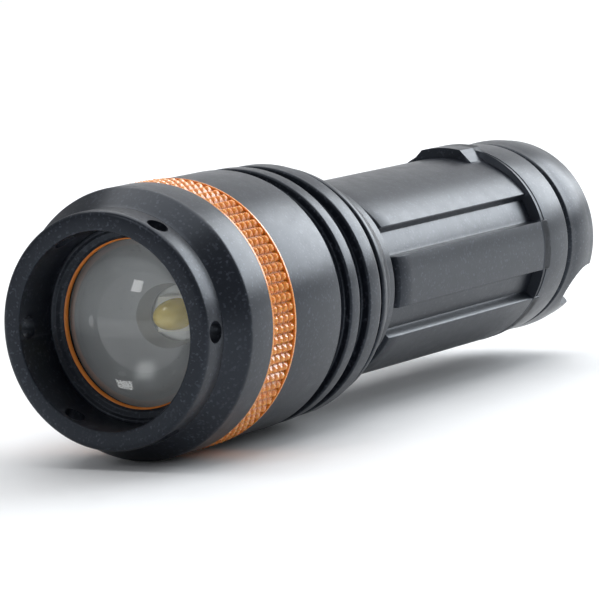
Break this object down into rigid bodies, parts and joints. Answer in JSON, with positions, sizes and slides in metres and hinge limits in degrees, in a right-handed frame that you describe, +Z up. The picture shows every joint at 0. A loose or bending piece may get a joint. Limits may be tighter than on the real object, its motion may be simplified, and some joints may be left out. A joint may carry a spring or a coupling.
{
  "type": "tactical flashlight",
  "caption": "Aluminium hand torch with a sliding focus head, convex lens, amber grip ring, padded body tube with anti-roll lug, and screw-off tail cap with a push switch.",
  "frame": {"origin": "centre of the bounding box in X and Y, on the surface that the lying head touches", "axes": "+Y from the bezel face to the tail rim, so the beam points along -Y; +Z up, through the middle of the wide upper pad and the anti-roll lug; +X to the right seen from behind the tail"},
  "size_m": [0.04, 0.1254, 0.04],
  "materials": {
    "anodised": "black satin anodised, fine sparkle grain",
    "spring_steel": "bright spring steel",
    "seal_rubber": "matte",
    "bare_aluminium": "machined, uncoated",
    "board_white": "white solder mask",
    "emitter_ceramic": "white ceramic",
    "led_phosphor": "yellow phosphor under clear silicone",
    "cup_white": "white reflective plastic",
    "steel": "nickel plated",
    "board_green": "green solder mask",
    "black_plastic": "moulded, matte",
    "gold_brass": "gold flashed",
    "cell_jacket": "plain printed sleeve with no lettering",
    "amber_plastic": "translucent amber",
    "clear_lens": "clear, polished",
    "amber_rubber": "orange silicone",
    "boot_rubber": "soft matte silicone",
    "switch_white": "moulded"
  },
  "bodies": {
    "body": {"body_tube": "anodised", "slide_barrel": "anodised", "stop_ring": "spring_steel", "slide_seals": "seal_rubber", "barrel_seal": "seal_rubber", "tail_seal": "seal_rubber", "led_pill": "bare_aluminium", "led_board": "board_white", "led_emitter": "emitter_ceramic", "led_dome": "led_phosphor", "led_cup": "cup_white", "board_screws": "steel", "driver_board": "board_green", "driver_chips": "black_plastic", "front_spring": "gold_brass", "carrier_front": "black_plastic", "carrier_frame": "black_plastic", "carrier_rear": "black_plastic", "carrier_contacts": "gold_brass", "cells": "cell_jacket", "cell_buttons": "steel"},
    "head": {"head_shell": "anodised", "grip_ring": "amber_plastic", "bezel": "anodised", "bezel_seal": "seal_rubber", "lens": "clear_lens", "lens_gasket": "amber_rubber", "lens_retainer": "anodised"},
    "tail_contact": {"spring_cup": "gold_brass", "tail_spring": "gold_brass"},
    "tail_cap": {"tail_cap": "anodised", "switch_board": "board_green", "switch_body": "black_plastic", "switch_spacer": "black_plastic", "switch_retainer": "gold_brass"},
    "switch_button": {"switch_boot": "boot_rubber", "switch_plunger": "switch_white"}
  },
  "joints": [
    {"name": "focus_slide", "type": "slide", "parent": "body", "child": "head", "axis": [0, -1, 0], "range_m": [0, 0.007]},
    {"name": "cap_travel", "type": "slide", "parent": "body", "child": "tail_contact", "axis": [0, 1, 0], "range_m": [0, 0.0061]},
    {"name": "cap_turn", "type": "hinge", "parent": "tail_contact", "child": "tail_cap", "pos_m": [0, 0.05425, 0.02], "axis": [0, 1, 0], "range_deg": [0, 1440]},
    {"name": "switch_press", "type": "slide", "parent": "tail_cap", "child": "switch_button", "axis": [0, -1, 0], "range_m": [0, 0.0015], "stiffness_N_per_m": 1500, "springref_m": -0.0005}
  ],
  "couplings": [
    {"joint": "cap_travel", "follows": "cap_turn", "m_per_rad": 0.00023873}
  ]
}
